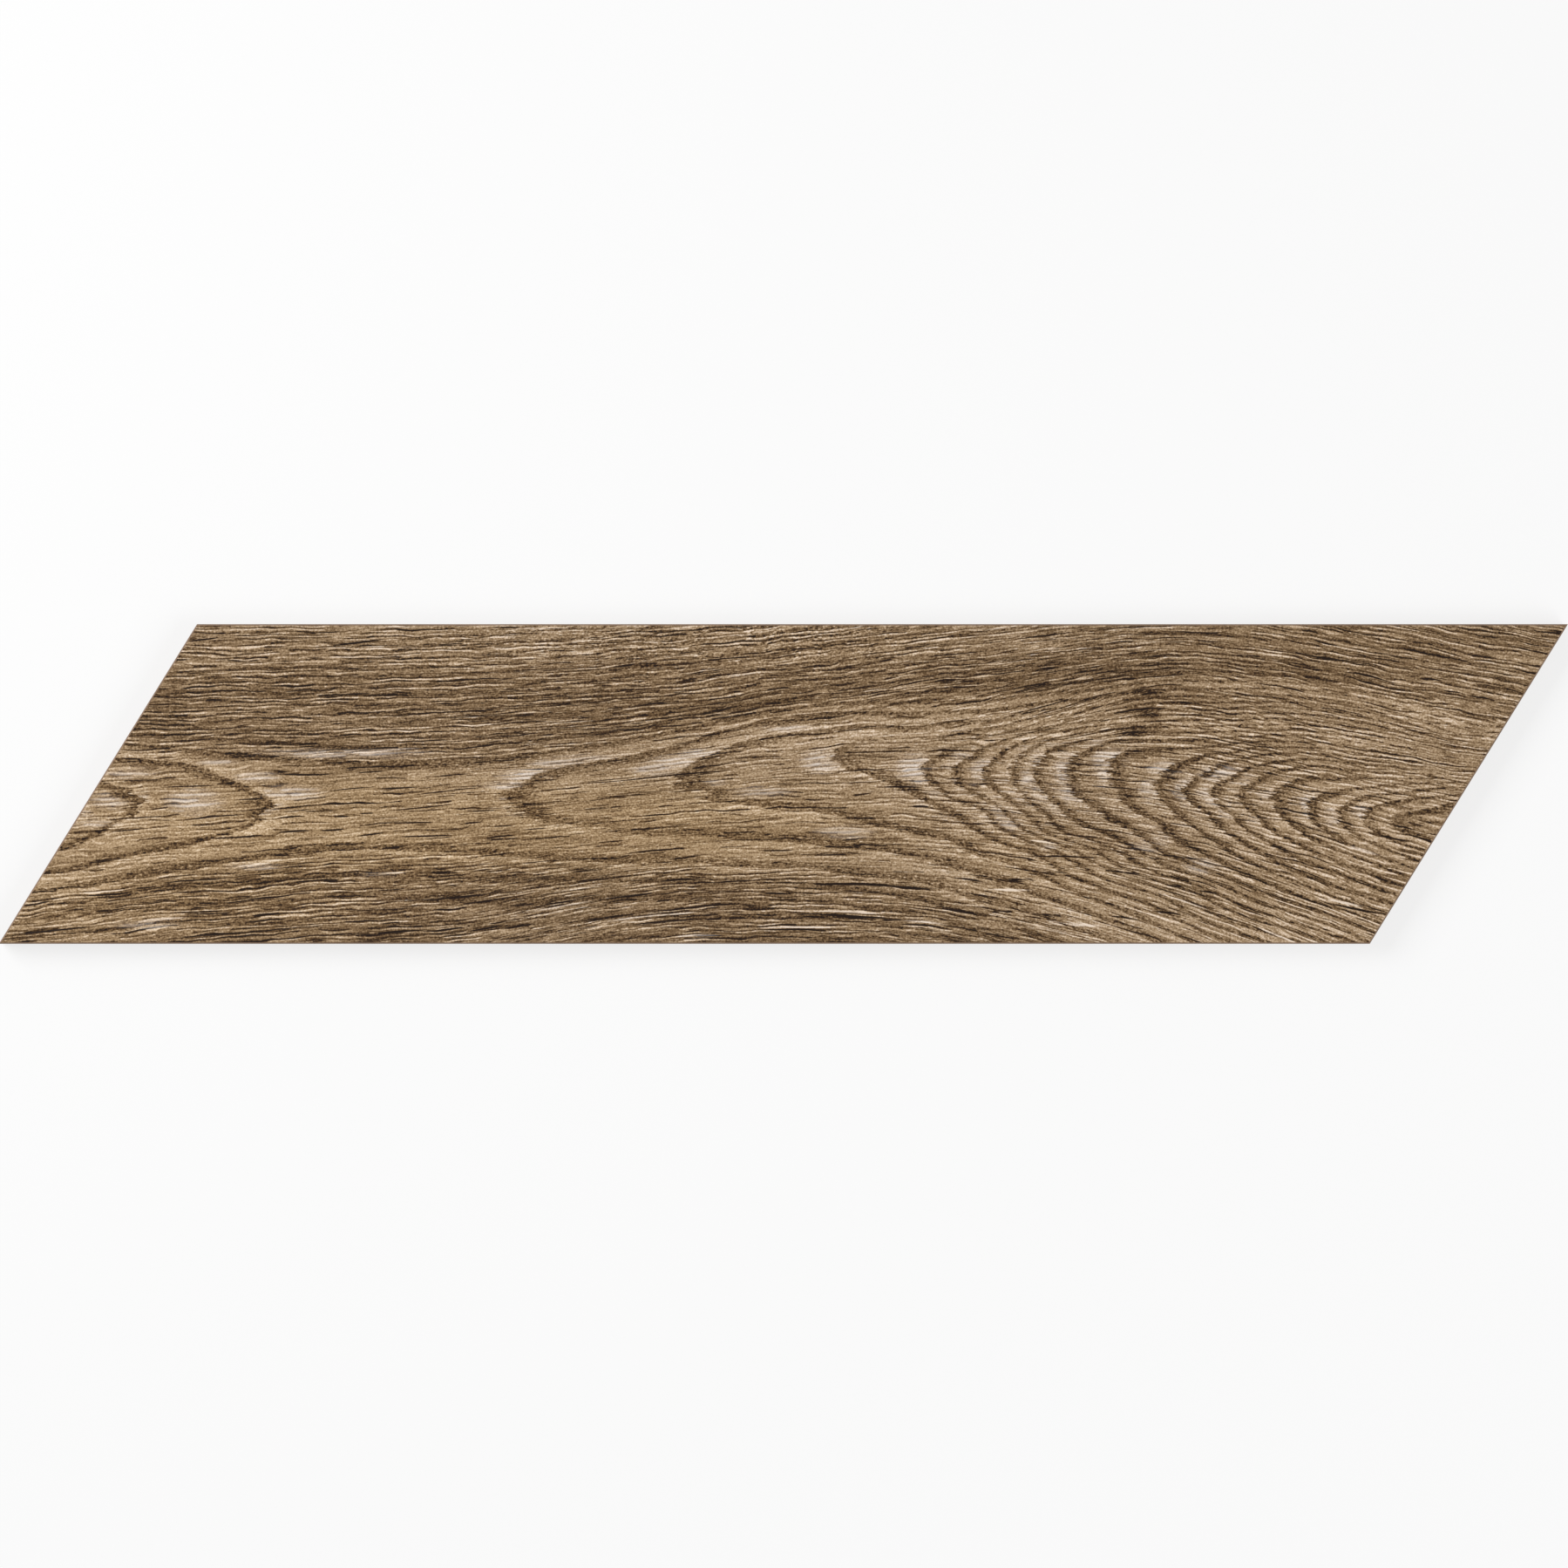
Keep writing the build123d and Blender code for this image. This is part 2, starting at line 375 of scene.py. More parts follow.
class Wiring:
    """Adds nodes to a tree, for shading or for geometry, and links them up."""

    def __init__(self, tree):
        self.tree = tree

    def add(self, kind, **settings):
        """A new node with these settings."""
        node = self.tree.nodes.new(kind)
        for name, value in settings.items():
            setattr(node, name, value)
        return node

    def feed(self, socket, value):
        """Links a socket to another, or sets it to a plain value."""
        if isinstance(value, bpy.types.NodeSocket):
            self.tree.links.new(value, socket)
        else:
            socket.default_value = value

    def maths(self, operation, *values):
        """One step of arithmetic on these values."""
        node = self.add("ShaderNodeMath", operation=operation)
        for socket, value in zip(node.inputs, values):
            self.feed(socket, value)
        return node.outputs[0]

    def plus(self, first, *others):
        """The sum of these values."""
        for other in others:
            first = self.maths("ADD", first, other)
        return first

    def times(self, first, *others):
        """The product of these values."""
        for other in others:
            first = self.maths("MULTIPLY", first, other)
        return first

    def inverse(self, value):
        """What a share leaves of 1."""
        return self.maths("SUBTRACT", 1.0, value)

    def step(self, value, start, end):
        """A smooth step from 0 at start to 1 at end."""
        node = self.add("ShaderNodeMapRange", interpolation_type="SMOOTHSTEP")
        self.feed(node.inputs["Value"], value)
        self.feed(node.inputs["From Min"], start)
        self.feed(node.inputs["From Max"], end)
        return node.outputs["Result"]

    def curve(self, value, points):
        """A smooth curve of value through the points, which are (value, height) pairs."""
        low, high = points[0][0], points[-1][0]
        node = self.add("ShaderNodeFloatCurve")
        shape = node.mapping.curves[0].points
        while len(shape) < len(points):
            shape.new(0.5, 0.5)
        for place, (at, height) in zip(shape, points):
            place.location = ((at - low) / (high - low), height)
        node.mapping.update()
        spread = self.add("ShaderNodeMapRange")
        self.feed(spread.inputs["Value"], value)
        self.feed(spread.inputs["From Min"], low)
        self.feed(spread.inputs["From Max"], high)
        self.feed(node.inputs["Value"], spread.outputs["Result"])
        return node.outputs["Value"]

    def noise(self, place, size, draw, detail=0.0, roughness=0.5):
        """Soft noise on a plane, mostly between -0.6 and 0.6, with features of these two lengths."""
        spread = self.add("ShaderNodeVectorMath", operation="MULTIPLY_ADD")
        self.feed(spread.inputs[0], place)
        spread.inputs[1].default_value = (1 / size[0], 1 / size[1], 0.0)
        spread.inputs[2].default_value = (DRAW_SHIFT[0] * draw, DRAW_SHIFT[1] * draw, 0.0)
        node = self.add("ShaderNodeTexNoise", noise_dimensions="2D", normalize=False)
        self.feed(node.inputs["Vector"], spread.outputs["Vector"])
        node.inputs["Scale"].default_value = 1.0
        node.inputs["Detail"].default_value = detail
        node.inputs["Roughness"].default_value = roughness
        return next(socket for socket in node.outputs if socket.name in ("Fac", "Factor"))

    def chance(self, value):
        """A random share from 0 to 1 for each whole number."""
        node = self.add("ShaderNodeTexWhiteNoise", noise_dimensions="1D")
        self.feed(node.inputs["W"], value)
        return node.outputs["Value"]

    def pair(self, first, second):
        """Two values as a place on a plane."""
        node = self.add("ShaderNodeCombineXYZ")
        self.feed(node.inputs["X"], first)
        self.feed(node.inputs["Y"], second)
        return node.outputs[0]


# Drying checks, in groups that run along the fibres or cut across them at a slant, which is given as their
# drop for each pixel along. A check has its start along the tile, its length and its place across at the
# start, in pixels on the photograph, and its width in millimetres.
CHECKS = (
    (0.0, (
        (638, 222, 901, 0.45), (1000, 62, 904, 0.5), (1240, 80, 900, 0.42), (919, 170, 1014, 0.6),
        (930, 100, 1050, 0.5), (865, 92, 1066, 0.5), (1030, 58, 1060, 0.45), (740, 116, 1046, 0.45),
        (725, 80, 1062, 0.5), (603, 86, 1041, 0.5), (690, 66, 1032, 0.6), (752, 62, 1013, 0.45),
        (820, 50, 1011, 0.4), (868, 48, 1026, 0.5), (650, 45, 1001, 0.45), (595, 45, 1010, 0.4),
        (575, 40, 1067, 0.45), (1075, 50, 1041, 0.5), (1090, 40, 1008, 0.4), (865, 50, 975, 0.4),
        (720, 65, 979, 0.4), (929, 50, 981, 0.4), (790, 44, 1075, 0.5), (8, 105, 1073, 0.5),
        (95, 60, 1028, 0.5), (30, 45, 1035, 0.45), (200, 65, 1048, 0.5), (285, 40, 1051, 0.6),
        (425, 70, 1071, 0.55), (500, 35, 1067, 0.45), (535, 45, 1069, 0.5), (497, 32, 1002, 0.5),
        (225, 60, 1074, 0.45), (515, 40, 1030, 0.45), (180, 80, 1015, 0.4),
    )),
    (-0.13, ((376, 68, 743, 0.5), (214, 40, 738, 0.45))),
    (-0.17, (
        (1160, 115, 981, 0.5), (1262, 60, 999, 0.55), (1322, 68, 980, 0.5), (1335, 26, 1014, 0.45),
        (1374, 26, 1022, 0.5), (1270, 40, 1051, 0.5), (1140, 55, 1010, 0.5), (1190, 52, 1001, 0.45),
        (1180, 45, 1049, 0.45), (1518, 75, 1034, 0.6), (1316, 45, 1044, 0.45), (1135, 32, 1047, 0.5),
    )),
)
# Bright slivers, given in the same way: painted highlights beside some of the checks, and pale streaks by
# themselves
PALE_SLIVERS_AND_PAINTED_HIGHLIGHTS = (
    (0.0, (
        (266, 50, 994, 0.7), (302, 26, 988, 0.5), (330, 140, 867, 0.5), (410, 80, 862, 0.45),
        (146, 74, 1060, 0.7), (862, 104, 1063, 0.5), (690, 100, 1059, 0.5), (745, 60, 1051, 0.45),
        (930, 90, 1046, 0.45), (1030, 60, 1056, 0.5), (605, 84, 1046, 0.45), (90, 60, 1024, 0.45),
        (770, 60, 1076, 0.6), (430, 40, 1003, 0.5), (1318, 75, 1021, 0.5),
        (1440, 50, 1064, 0.5), (1178, 40, 965, 0.6), (1544, 40, 969, 0.6),
    )),
    (-0.17, ((1196, 75, 1058, 0.7), (1516, 52, 1029, 0.55), (1130, 60, 1022, 0.5))),
)
# Long dark pores in the smooth wood of the left half, given in the same way
LONG_PORES = (
    (0.0, (
        (316, 72, 890, 0.4), (406, 40, 887, 0.35), (495, 52, 892, 0.45), (432, 54, 906, 0.42),
        (470, 94, 912, 0.38), (366, 70, 908, 0.35), (435, 97, 929, 0.4), (342, 47, 933, 0.4),
        (410, 22, 933, 0.4), (382, 22, 937, 0.42), (316, 32, 940, 0.45), (443, 62, 947, 0.38),
        (525, 32, 945, 0.42), (527, 54, 931, 0.32), (316, 45, 956, 0.42), (363, 35, 953, 0.45),
        (408, 36, 959, 0.4), (448, 80, 962, 0.4), (553, 40, 963, 0.38), (562, 34, 950, 0.35),
        (599, 30, 954, 0.35), (665, 38, 929, 0.38), (197, 92, 941, 0.4), (232, 78, 963, 0.42),
        (175, 80, 905, 0.32), (120, 56, 956, 0.35), (268, 40, 917, 0.35), (690, 60, 915, 0.35),
    )),
)

SLIVER_SPREAD = 0.85  # half of a sliver's soft width, for each 1 of its stated width
SLIVER_CORE = 0.5  # share of that which is full
BEYOND = 2.0  # farther off than any sliver reaches

BAND_WIDTH = (5.4, 14.0)  # millimetres of dark late wood about a ring's line, beside an arch and at its tip
LOWER_SHARE = 0.8  # of a band's width that is left on the lower branch of an arch
BAND_SHARE = 0.5  # of a ring that its band may fill
BAND_CORE = 0.45  # of a band's width that is dark all through
BAND_EDGE = 0.4  # millimetres over which a band ends outwards
BAND_PATCHES = 0.2  # of a band's darkness that comes and goes along it
PATCH_NOISE = (-0.5, 0.2)  # noise at which a band is palest, and at which it is darkest
PALE_WIDTH = 5.0  # millimetres of pale early wood outside a ring's line
RING_FRAY = 1.5  # millimetres by which a ring's line is frayed along the fibres, for each 1 of noise
RING_SWING = 2.0  # and by which it swings in broad waves
RING_DRIFT = 0.12  # rings by which a line along the fibres wanders, for each 1 of noise

# Where fibres are numbered afresh, in pixels along the tile: each one at its own place near there
CHANGEOVERS = {"fibres_middle": 650, "fibres_right": 1200}
CHANGEOVER_SPREAD = 130.0  # millimetres for each 1 of noise
CHANGEOVER_WIDTH = 0.6  # millimetres of fibres that change over together
SWAY_SIZE = (26.0, 9.0)  # millimetres along and across, of the waves in which the fibres sway
SWAY = 0.9  # millimetres for each 1 of noise
WOBBLE_SIZE = (7.0, 2.0)  # millimetres along and across, of the small wobble on top of them
WOBBLE = 0.45  # millimetres for each 1 of noise

DASH_TAPER = 0.18  # of noise, over which a dash swells to its full width
DASH_SHIFT = 5.3  # how far one row of dashes lies from the next on the plane of its noise
THINNEST_DASH = 0.001  # millimetres, so that even the end of a dash has an edge
PORE_LIMIT = 0.5  # noise above which there is a pore, which a dark band brings down to 0
# A glint is a painted highlight: a pale speck beside a pore, mostly in the pale wood by the bands
GLINT_LIMIT = 0.5  # noise above which there is a glint
GLINT_EASE = 0.2  # by which pale wood brings that down
MARK_EDGE = 0.2  # of noise, over which pores and glints grow to their full strength
CHALK_AT_TIPS = 0.7  # strength of the chalk in the pale wood at the tips of the arches
CHALK_NOISE = (-0.15, 0.3)  # noise at which a tip has none of it, and at which it has it all
CHALK_GROUND = 0.2  # strength of the chalk between its lines
CHAIN_NOISE = (-0.4, 0.4)  # noise between the chains of mottled flecks, and in them
# The bright lines are painted highlights, each beside its dark line
LINE_OFFSET = 0.2  # share of a pitch by which dark and bright lines lie to either side of their row


def figure(wire, grain):
    """The drawing's masks, from 0 to 1, and its streaks, about 0, from the grain that the wear face has."""
    along = grain["along"]
    across = grain["fibres_left"]
    for name, place in CHANGEOVERS.items():
        own_place = wire.noise(wire.pair(0.0, across), (1.0, CHANGEOVER_WIDTH), draw=place)
        limit = wire.plus(wire.times(own_place, CHANGEOVER_SPREAD), place * to_mm)
        changed = wire.maths("GREATER_THAN", along, limit)
        across = wire.plus(across, wire.times(changed, wire.maths("SUBTRACT", grain[name], across)))
    sway = wire.times(wire.noise(wire.pair(along, across), SWAY_SIZE, draw=1), SWAY)
    wobble = wire.times(wire.noise(wire.pair(along, across), WOBBLE_SIZE, draw=17), WOBBLE)
    across = wire.plus(across, sway, wobble)
    fibre = wire.pair(along, across)

    def streaks(length, width, draw, detail=1.0, roughness=0.5):
        """Noise drawn out along the fibres, with streaks of this length and width in millimetres."""
        return wire.noise(fibre, (length, width), draw, detail, roughness)

    def dashes(pitch, length, width, limit, draw, stray=0.6, offset=0.0):
        """Thin tapered dashes along the fibres, one row to each pitch, all in millimetres.

        They stray by a share of the pitch, and lie off the middle of their row by another share. There are
        fewer of them, the higher the limit is.
        """
        place = wire.maths("MULTIPLY_ADD", across, 1 / pitch, draw)
        row = wire.maths("FLOOR", place)
        strength = wire.noise(wire.pair(along, wire.times(row, DASH_SHIFT)), (length, 1.0), draw, detail=1.0)
        taper = wire.step(strength, limit, limit + DASH_TAPER)
        middle = wire.plus(row, wire.times(wire.chance(row), stray), (1 - stray) / 2 + offset)
        aside = wire.times(wire.maths("ABSOLUTE", wire.maths("SUBTRACT", place, middle)), pitch)
        edge = wire.maths("MULTIPLY_ADD", taper, width, THINNEST_DASH)
        half_edge = wire.times(edge, 0.5)
        return wire.inverse(wire.step(aside, half_edge, edge))

    frayed = wire.times(streaks(length=4, width=0.5, draw=2), RING_FRAY)
    swung = wire.times(streaks(length=34, width=6, draw=3, detail=0), RING_SWING)
    drifted = wire.times(streaks(length=50, width=3.0, draw=4, detail=0), RING_DRIFT)
    ring = wire.plus(grain["growth_ring"], wire.times(grain["rings_crossed"], wire.plus(frayed, swung)))
    ring = wire.plus(ring, drifted)
    rate, shows = grain["ring_rate"], grain["ring_shows"]
    beside, at_tip = BAND_WIDTH
    reach = wire.maths("MULTIPLY_ADD", grain["arch_tip"], at_tip - beside, beside)
    strong = wire.maths("MULTIPLY_ADD", grain["upper_side"], 1 - LOWER_SHARE, LOWER_SHARE)
    reach = wire.times(reach, strong, wire.inverse(grain["slim"]))
    reach = wire.maths("MINIMUM", reach, wire.maths("DIVIDE", BAND_SHARE, rate))
    ring = wire.plus(ring, wire.times(rate, reach, -0.5))  # the band's middle lies on the picked line
    phase = wire.maths("FRACT", ring)
    inside = wire.maths("DIVIDE", wire.inverse(phase), rate)
    outside = wire.maths("DIVIDE", phase, rate)
    band = wire.inverse(wire.step(inside, wire.times(reach, BAND_CORE), reach))
    patchy = wire.step(streaks(length=16, width=4, draw=16), *PATCH_NOISE)
    patchy = wire.maths("MULTIPLY_ADD", patchy, BAND_PATCHES, 1 - BAND_PATCHES)
    band = wire.times(band, wire.step(inside, 0.0, BAND_EDGE), shows, patchy)
    pale = wire.times(wire.inverse(wire.step(outside, 0.0, PALE_WIDTH)), shows)

    pore_limit = wire.plus(PORE_LIMIT, wire.times(band, -PORE_LIMIT))
    pore_noise = streaks(length=2.4, width=0.5, draw=5, roughness=0.6)
    pores = wire.step(pore_noise, pore_limit, wire.plus(pore_limit, MARK_EDGE))
    # Painted highlights: pale glints beside the pores, more of them in the pale wood by the bands
    glint_limit = wire.plus(GLINT_LIMIT, wire.times(pale, -GLINT_EASE))
    glint_noise = streaks(length=3.0, width=0.45, draw=6)
    painted_glints = wire.step(glint_noise, glint_limit, wire.plus(glint_limit, MARK_EDGE))

    def slivers(groups):
        """Thin pointed strips along the fibres, or at a slant to them."""
        nearest = BEYOND
        for slant, strips in groups:
            for start, length, down, width in strips:
                line = min(FIBRE_LINES, key=lambda name: abs(FIBRE_LINES[name] - start - length / 2))
                own_start = np.array([float(start)]), np.array([float(down)])
                own_fibre = float(fibre_at(*own_start, FIBRE_LINES[line])[0])
                half = np.array((length / 2 * to_mm, width * SLIVER_SPREAD))
                middle = np.array((start + length / 2, own_fibre - slant * start)) * to_mm
                away = wire.add("ShaderNodeVectorMath", operation="MULTIPLY_ADD")
                level = wire.plus(grain[line], sway, wire.times(along, -slant))
                wire.feed(away.inputs[0], wire.pair(along, level))
                away.inputs[1].default_value = (*(1 / half), 0.0)
                away.inputs[2].default_value = (*(-middle / half), 0.0)
                reached = wire.add("ShaderNodeVectorMath", operation="LENGTH")
                wire.feed(reached.inputs[0], away.outputs["Vector"])
                nearest = wire.maths("MINIMUM", nearest, reached.outputs["Value"])
        return wire.inverse(wire.step(nearest, SLIVER_CORE, 1.0))

    at_some_tips = wire.step(streaks(length=12, width=10, draw=9), *CHALK_NOISE)
    beside_tip = wire.times(pale, grain["arch_tip"], at_some_tips, CHALK_AT_TIPS)
    chalky = wire.times(wire.maths("MAXIMUM", grain["chalk"], beside_tip), wire.inverse(band))
    chalk_lines = dashes(pitch=1.7, length=12.0, width=0.5, limit=-0.4, draw=25, stray=0.5)
    chalk_lines = wire.maths("MULTIPLY_ADD", chalk_lines, 1 - CHALK_GROUND, CHALK_GROUND)
    grains = streaks(length=1.3, width=0.6, draw=8)
    chains = wire.step(streaks(length=5.0, width=12.0, draw=18, detail=0), *CHAIN_NOISE)
    paired_lines = {"pitch": 1.4, "length": 23.0, "width": 0.33, "limit": -0.2, "draw": 21, "stray": 0.25}
    return {
        "ring": ring,
        "phase": wire.times(phase, shows),
        "band": band,
        "pale": pale,
        "pores": pores,
        "checks": slivers(CHECKS),
        "pale_slivers_and_painted_highlights": slivers(PALE_SLIVERS_AND_PAINTED_HIGHLIGHTS),
        "long_pores": slivers(LONG_PORES),
        "flecks": wire.times(chalky, chalk_lines),
        "painted_glints": painted_glints,
        "grains": grains,
        "rays": wire.times(grain["ray"], chains, grains),
        # Dark lines along the fibres, each with a painted highlight beside it
        "lines": dashes(**paired_lines, offset=-LINE_OFFSET),
        "painted_highlight_lines": dashes(**paired_lines, offset=LINE_OFFSET),
        "dashes": dashes(pitch=2.3, length=15.0, width=0.32, limit=0.06, draw=22),
        "cracks": dashes(pitch=4.3, length=20.0, width=0.32, limit=0.16, draw=23),
        "hair": streaks(length=6, width=0.42, draw=11, detail=0),
        "fine": streaks(length=20, width=0.42, draw=12, detail=0),
        "long": streaks(length=55, width=0.65, draw=13),
        "middling": streaks(length=70, width=2.5, draw=14),
        "broad": streaks(length=110, width=7.0, draw=15),
    }


# Embossed wear face
# A textured punch sinks the checks, the dark rings and long soft hollows into the powder before firing, by
# up to about 0.3 mm. The face never stands above the plane of the plain tile.

BAND_DEPTH = 0.06 * MILLIMETRE
CRACK_DEPTH = 0.06 * MILLIMETRE  # of fine cracks and long pores
CHECK_DEPTH = 0.12 * MILLIMETRE
BRUSHED_DEPTH = 0.08 * MILLIMETRE  # of the long soft hollows between the fibres
BRUSHED_EDGES = (-0.6, 0.6)  # noise at which a hollow begins, and at which it is deepest

emboss = bpy.data.node_groups.new("embossed_grain", "GeometryNodeTree")
emboss.interface.new_socket("Geometry", in_out="INPUT", socket_type="NodeSocketGeometry")
emboss.interface.new_socket("Geometry", in_out="OUTPUT", socket_type="NodeSocketGeometry")
punch = Wiring(emboss)


def carried(name):
    """A value of the grain, as the geometry nodes read it."""
    node = punch.add("GeometryNodeInputNamedAttribute", data_type="FLOAT")
    node.inputs["Name"].default_value = name
    return node.outputs["Attribute"]


sunk = figure(punch, {name: carried(name) for name in grain})
hollow = punch.step(punch.plus(sunk["broad"], sunk["middling"]), *BRUSHED_EDGES)
depth = punch.plus(
    punch.times(sunk["band"], BAND_DEPTH),
    punch.times(punch.plus(sunk["cracks"], sunk["long_pores"]), CRACK_DEPTH),
    punch.times(sunk["checks"], CHECK_DEPTH),
    punch.times(hollow, BRUSHED_DEPTH),
)
lowered = punch.add("ShaderNodeCombineXYZ")
punch.feed(lowered.inputs["Z"], punch.times(depth, carried("off_rim"), -1.0))
moved = punch.add("GeometryNodeSetPosition")
punch.feed(moved.inputs["Geometry"], punch.add("NodeGroupInput").outputs["Geometry"])
punch.feed(moved.inputs["Offset"], lowered.outputs[0])
punch.feed(punch.add("NodeGroupOutput").inputs["Geometry"], moved.outputs["Geometry"])

stamp = tile.modifiers.new("emboss", "NODES")
stamp.node_group = emboss
stamped = tile.evaluated_get(bpy.context.evaluated_depsgraph_get())
tile.data = bpy.data.meshes.new_from_object(stamped)
tile.modifiers.clear()

# Printed oak glaze
# Ceramic inks are jetted on the engobe and fired under a matte glaze. One brown ink set makes every tone,
# from the dark pores through tan early and late wood to pale flecks, so the colour follows the tone. The
# pale glints, lines and slivers that sit beside dark pores, lines and checks are painted highlights.


def linear(red, green, blue):
    """A colour from its values of 0 to 255 on a screen."""
    share = np.array((red, green, blue)) / 255
    light = np.where(share <= 0.04045, share / 12.92, ((share + 0.055) / 1.055) ** 2.4)
    return (*light.tolist(), 1.0)


# Inks by tone, where a tone is the share of white that a screen shows
INK_TONES = (
    (0.06, linear(28, 12, 2)),
    (0.165, linear(61, 40, 18)),
    (0.28, linear(94, 70, 42)),
    (0.40, linear(124, 99, 70)),
    (0.52, linear(154, 128, 97)),
    (0.635, linear(184, 158, 127)),
    (0.75, linear(210, 187, 161)),
    (0.87, linear(237, 217, 196)),
)
# Tone of the wood by growth ring, from the heart to the bark
RING_TONES = (
    (-18, 0.535), (-10, 0.535), (-4, 0.535), (-1.5, 0.54), (0.0, 0.545), (0.8, 0.545),
    (1.2, 0.46), (1.9, 0.42), (3, 0.4), (6, 0.385), (10, 0.45), (15, 0.52),
)
# How dark the bands are by growth ring
RING_BANDS = ((-18, 0.135), (-3, 0.135), (-2, 0.125), (15, 0.125))
# How streaky the wood is by growth ring: smooth between the arches, streaky towards the rear edge
RING_STREAKS = (
    (-18, 0.75), (-4, 0.7), (-1.5, 0.62), (0.0, 0.42), (0.9, 0.52), (1.6, 0.95), (4, 0.95), (15, 1.0),
)
ARCH_RINGS = (-3.5, -1.0)  # growth rings from those within the arches to those outside them
# What each mark of the drawing adds to the tone
MARK_TONES = {
    "phase": -0.02,
    "pale": 0.055,
    "pores": -0.15,
    "rays": 0.28,
    "flecks": 0.13,
    "dashes": -0.28,
    # bright slivers: painted highlights beside the checks, and pale streaks
    "cracks": -0.38,
    "checks": -0.6,
    "long_pores": -0.52,
    "pale_slivers_and_painted_highlights": 0.34,
    # painted highlights beside the pores
    "painted_glints": 0.15,
}
# the bright lines are painted highlights beside the dark ones
STREAK_TONES = {"long": 0.1, "fine": 0.17, "hair": 0.17, "lines": -0.22, "painted_highlight_lines": 0.2}
BROAD_TONES = {"broad": 0.05, "middling": 0.06}
ARCH_CALM = 0.7  # share of the broad streaks that is lost within the arches
BAND_COVER = 0.5  # share of the streaks that a dark band hides
BRANCH_TONE = -0.04  # of the bands on the branches within the arches
SLIM_TONE = -0.15  # of the bands where they are slim
BAND_GRAINS = 0.22  # how far fine grains vary a band
SMUDGE_TONE = -0.26
SMUDGE_GRAINS = 0.2  # how far fine grains vary a smudge
SPECKLE_SCALE = 1500.0  # of the jets' fine dots, to a metre
SPECKLE_TONE = 0.6

face_finish = bpy.data.materials.new("printed_oak_glaze")
face_finish.use_nodes = True
face_finish.node_tree.nodes.clear()
ink = Wiring(face_finish.node_tree)


def printed_value(name):
    """A value of the grain, as the material reads it."""
    return ink.add("ShaderNodeAttribute", attribute_name=name).outputs["Fac"]


drawn = figure(ink, {name: printed_value(name) for name in grain})
speck = ink.add("ShaderNodeTexNoise", noise_dimensions="3D")
ink.feed(speck.inputs["Vector"], ink.add("ShaderNodeTexCoord").outputs["Object"])
speck.inputs["Scale"].default_value = SPECKLE_SCALE
speck.inputs["Detail"].default_value = 1.0


def added_up(shares):
    """Marks of the drawing added up, each by its own share."""
    return ink.plus(*[ink.times(drawn[name], share) for name, share in shares.items()])


streaky = ink.curve(drawn["ring"], RING_STREAKS)
within_arches = ink.inverse(ink.step(drawn["ring"], *ARCH_RINGS))
on_branch = ink.inverse(printed_value("arch_tip"))
smudged = ink.plus(SMUDGE_TONE, ink.times(drawn["grains"], SMUDGE_GRAINS))
tone = ink.plus(
    ink.curve(drawn["ring"], RING_TONES),
    ink.times(drawn["band"], ink.curve(drawn["ring"], RING_BANDS), -1.0),
    ink.times(drawn["band"], within_arches, on_branch, BRANCH_TONE),
    ink.times(drawn["band"], printed_value("slim"), SLIM_TONE),
    ink.times(drawn["band"], drawn["grains"], BAND_GRAINS),
    ink.times(printed_value("smudge"), smudged),
    ink.times(printed_value("shade"), -1.0),
    ink.times(added_up(BROAD_TONES), ink.inverse(ink.times(within_arches, ARCH_CALM))),
    ink.times(added_up(STREAK_TONES), streaky, ink.inverse(ink.times(drawn["band"], BAND_COVER))),
    ink.times(ink.maths("SUBTRACT", speck.outputs["Fac"], 0.5), SPECKLE_TONE),
    added_up(MARK_TONES),
)
inks = ink.add("ShaderNodeValToRGB")
while len(inks.color_ramp.elements) < len(INK_TONES):
    inks.color_ramp.elements.new(0.5)
for stop, (place, colour) in zip(inks.color_ramp.elements, INK_TONES):
    stop.position = place
    stop.color = colour
ink.feed(inks.inputs["Fac"], tone)

BUMP_REACH = 0.12 * MILLIMETRE
BUMP_STRENGTH = 0.6
BUMP_HEIGHTS = {"fine": 0.8, "hair": 0.6, "pores": -0.8}
GLAZE_ROUGHNESS = 0.56
ROUGHER_MARKS = {"pores": 0.12, "fine": 0.08}  # what these marks add to it
GLAZE_SPECULAR = 0.2
GOLDEN = (1.0, 0.97, 0.88, 1.0)  # tint of the warmer wood in the middle and at the left
CHALK = linear(227, 218, 212)  # the greyish flecks at the tips of the arches
CHALKED_FLECKS = 0.55  # share of that colour in a fleck
# a bright sliver beside a check is a painted highlight
CHALKED_GLEAMS = 0.2  # and in a bright sliver
bump = ink.add("ShaderNodeBump")
bump.inputs["Strength"].default_value = BUMP_STRENGTH
bump.inputs["Distance"].default_value = BUMP_REACH
ink.feed(bump.inputs["Height"], added_up(BUMP_HEIGHTS))
gilded = ink.add("ShaderNodeMix", data_type="RGBA", blend_type="MULTIPLY")
ink.feed(gilded.inputs["Factor"], printed_value("gold"))
ink.feed(gilded.inputs["A"], inks.outputs["Color"])
gilded.inputs["B"].default_value = GOLDEN
chalked = ink.add("ShaderNodeMix", data_type="RGBA")
chalk_share = ink.maths(
    "MAXIMUM",
    ink.times(drawn["flecks"], CHALKED_FLECKS),
    ink.times(drawn["pale_slivers_and_painted_highlights"], CHALKED_GLEAMS),
)
ink.feed(chalked.inputs["Factor"], chalk_share)
ink.feed(chalked.inputs["A"], gilded.outputs["Result"])
chalked.inputs["B"].default_value = CHALK
glaze = ink.add("ShaderNodeBsdfPrincipled")
glaze.inputs["Specular IOR Level"].default_value = GLAZE_SPECULAR
ink.feed(glaze.inputs["Base Color"], chalked.outputs["Result"])
